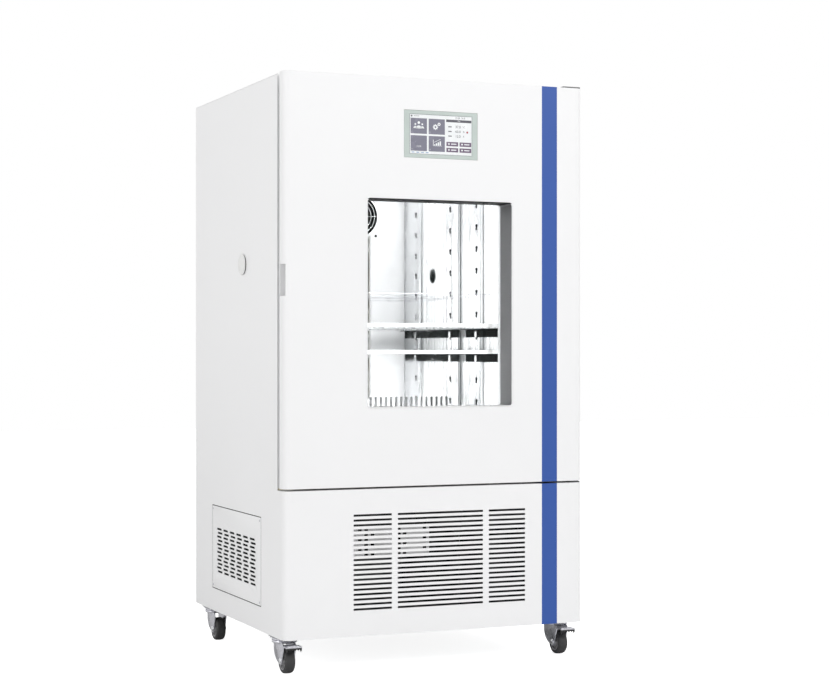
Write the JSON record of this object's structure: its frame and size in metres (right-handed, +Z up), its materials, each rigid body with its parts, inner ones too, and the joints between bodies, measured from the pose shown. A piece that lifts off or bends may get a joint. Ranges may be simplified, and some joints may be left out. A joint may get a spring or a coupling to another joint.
{
  "type": "upright temperature and humidity incubator",
  "caption": "Floor-standing insulated climate cabinet on casters, with a hinged window door, touch display, shelves and a vented machine compartment.",
  "frame": {"origin": "on the floor, under the centre of the whole object's box", "axes": "+X to the right seen from the front, +Y to the back, +Z up"},
  "size_m": [0.7522, 0.675, 1.3356],
  "materials": {
    "white_paint": "satin powder coat, off-white with a blue stripe",
    "grey_paint": "satin grey paint",
    "stainless": "polished stainless sheet",
    "zinc": "bright zinc plate",
    "aluminium": "mill finish",
    "foam": "rigid insulation foam",
    "gasket": "soft magnetic seal",
    "black_plastic": "moulded, matte",
    "white_plastic": "moulded, satin",
    "bezel": "moulded, satin",
    "screen": "touch screen",
    "glass": "clear float glass",
    "tyre": "hard rubber tread on a grey hub",
    "black_paint": "black enamel"
  },
  "bodies": {
    "cabinet": {"left_side_panel": "white_paint", "right_side_panel": "white_paint", "left_service_panel": "white_paint", "right_service_panel": "white_paint", "lower_front_panel": "white_paint", "top_panel": "white_paint", "rear_panel": "white_paint", "base_frame": "grey_paint", "deck": "grey_paint", "mains_inlet": "black_plastic", "foam_insulation": "foam", "chamber_liner": "stainless", "duct_panel": "stainless", "fan_frame": "black_plastic", "fan_guard": "stainless", "evaporator": "aluminium", "left_front_upright": "stainless", "left_rear_upright": "stainless", "right_front_upright": "stainless", "right_rear_upright": "stainless", "left_upper_runner": "black_paint", "right_upper_runner": "black_paint", "left_lower_runner": "black_paint", "right_lower_runner": "black_paint", "upper_shelf": "stainless", "lower_shelf": "stainless", "compressor": "black_paint", "condenser": "aluminium", "condenser_shroud": "grey_paint", "humidifier_tank": "black_plastic", "control_box": "white_paint", "left_port_bushing": "black_plastic", "right_port_bushing": "black_plastic", "top_hinge": "black_paint", "bottom_hinge": "black_paint"},
    "door": {"door_shell": "white_paint", "door_foam": "foam", "door_inner_panel": "stainless", "window_lining": "grey_paint", "window_outer_pane": "glass", "window_spacer": "aluminium", "window_inner_pane": "glass", "door_gasket": "gasket", "display_bezel": "bezel", "display_screen": "screen", "handle_cup": "white_paint"},
    "circulation_fan": {"circulation_fan": "black_plastic"},
    "condenser_fan": {"condenser_fan": "black_plastic"},
    "left_port_plug": {"left_port_plug": "white_plastic"},
    "right_port_plug": {"right_port_plug": "white_plastic"},
    "front_left_fork": {"front_left_fork": "zinc"},
    "front_left_wheel": {"front_left_wheel": "tyre"},
    "front_left_pedal": {"front_left_pedal": "zinc"},
    "rear_left_fork": {"rear_left_fork": "zinc"},
    "rear_left_wheel": {"rear_left_wheel": "tyre"},
    "front_right_fork": {"front_right_fork": "zinc"},
    "front_right_wheel": {"front_right_wheel": "tyre"},
    "front_right_pedal": {"front_right_pedal": "zinc"},
    "rear_right_fork": {"rear_right_fork": "zinc"},
    "rear_right_wheel": {"rear_right_wheel": "tyre"}
  },
  "joints": [
    {"name": "door_hinge", "type": "hinge", "parent": "cabinet", "child": "door", "pos_m": [0.352, -0.3195, 0.4135], "axis": [0, 0, 1], "range_deg": [0, 115]},
    {"name": "circulation_fan_spin", "type": "hinge", "parent": "cabinet", "child": "circulation_fan", "pos_m": [0, 0.1795, 1.056], "axis": [0, 1, 0], "continuous": true},
    {"name": "condenser_fan_spin", "type": "hinge", "parent": "cabinet", "child": "condenser_fan", "pos_m": [-0.3127, 0.0075, 0.213], "axis": [1, 0, 0], "continuous": true},
    {"name": "left_port_pull", "type": "slide", "parent": "cabinet", "child": "left_port_plug", "axis": [-1, 0, 0], "range_m": [0, 0.06]},
    {"name": "right_port_pull", "type": "slide", "parent": "cabinet", "child": "right_port_plug", "axis": [1, 0, 0], "range_m": [0, 0.06]},
    {"name": "front_left_swivel", "type": "hinge", "parent": "cabinet", "child": "front_left_fork", "pos_m": [-0.34, -0.257, 0.082], "axis": [0, 0, 1], "continuous": true},
    {"name": "front_left_roll", "type": "hinge", "parent": "front_left_fork", "child": "front_left_wheel", "pos_m": [-0.34, -0.2725, 0.028], "axis": [1, 0, 0], "continuous": true},
    {"name": "front_left_brake", "type": "hinge", "parent": "front_left_fork", "child": "front_left_pedal", "pos_m": [-0.34, -0.287, 0.0615], "axis": [1, 0, 0], "range_deg": [0, 12]},
    {"name": "rear_left_swivel", "type": "hinge", "parent": "cabinet", "child": "rear_left_fork", "pos_m": [-0.34, 0.2575, 0.082], "axis": [0, 0, 1], "continuous": true},
    {"name": "rear_left_roll", "type": "hinge", "parent": "rear_left_fork", "child": "rear_left_wheel", "pos_m": [-0.34, 0.242, 0.028], "axis": [1, 0, 0], "continuous": true},
    {"name": "front_right_swivel", "type": "hinge", "parent": "cabinet", "child": "front_right_fork", "pos_m": [0.34, -0.257, 0.082], "axis": [0, 0, 1], "continuous": true},
    {"name": "front_right_roll", "type": "hinge", "parent": "front_right_fork", "child": "front_right_wheel", "pos_m": [0.34, -0.2725, 0.028], "axis": [1, 0, 0], "continuous": true},
    {"name": "front_right_brake", "type": "hinge", "parent": "front_right_fork", "child": "front_right_pedal", "pos_m": [0.34, -0.287, 0.0615], "axis": [1, 0, 0], "range_deg": [0, 12]},
    {"name": "rear_right_swivel", "type": "hinge", "parent": "cabinet", "child": "rear_right_fork", "pos_m": [0.34, 0.2575, 0.082], "axis": [0, 0, 1], "continuous": true},
    {"name": "rear_right_roll", "type": "hinge", "parent": "rear_right_fork", "child": "rear_right_wheel", "pos_m": [0.34, 0.242, 0.028], "axis": [1, 0, 0], "continuous": true}
  ]
}
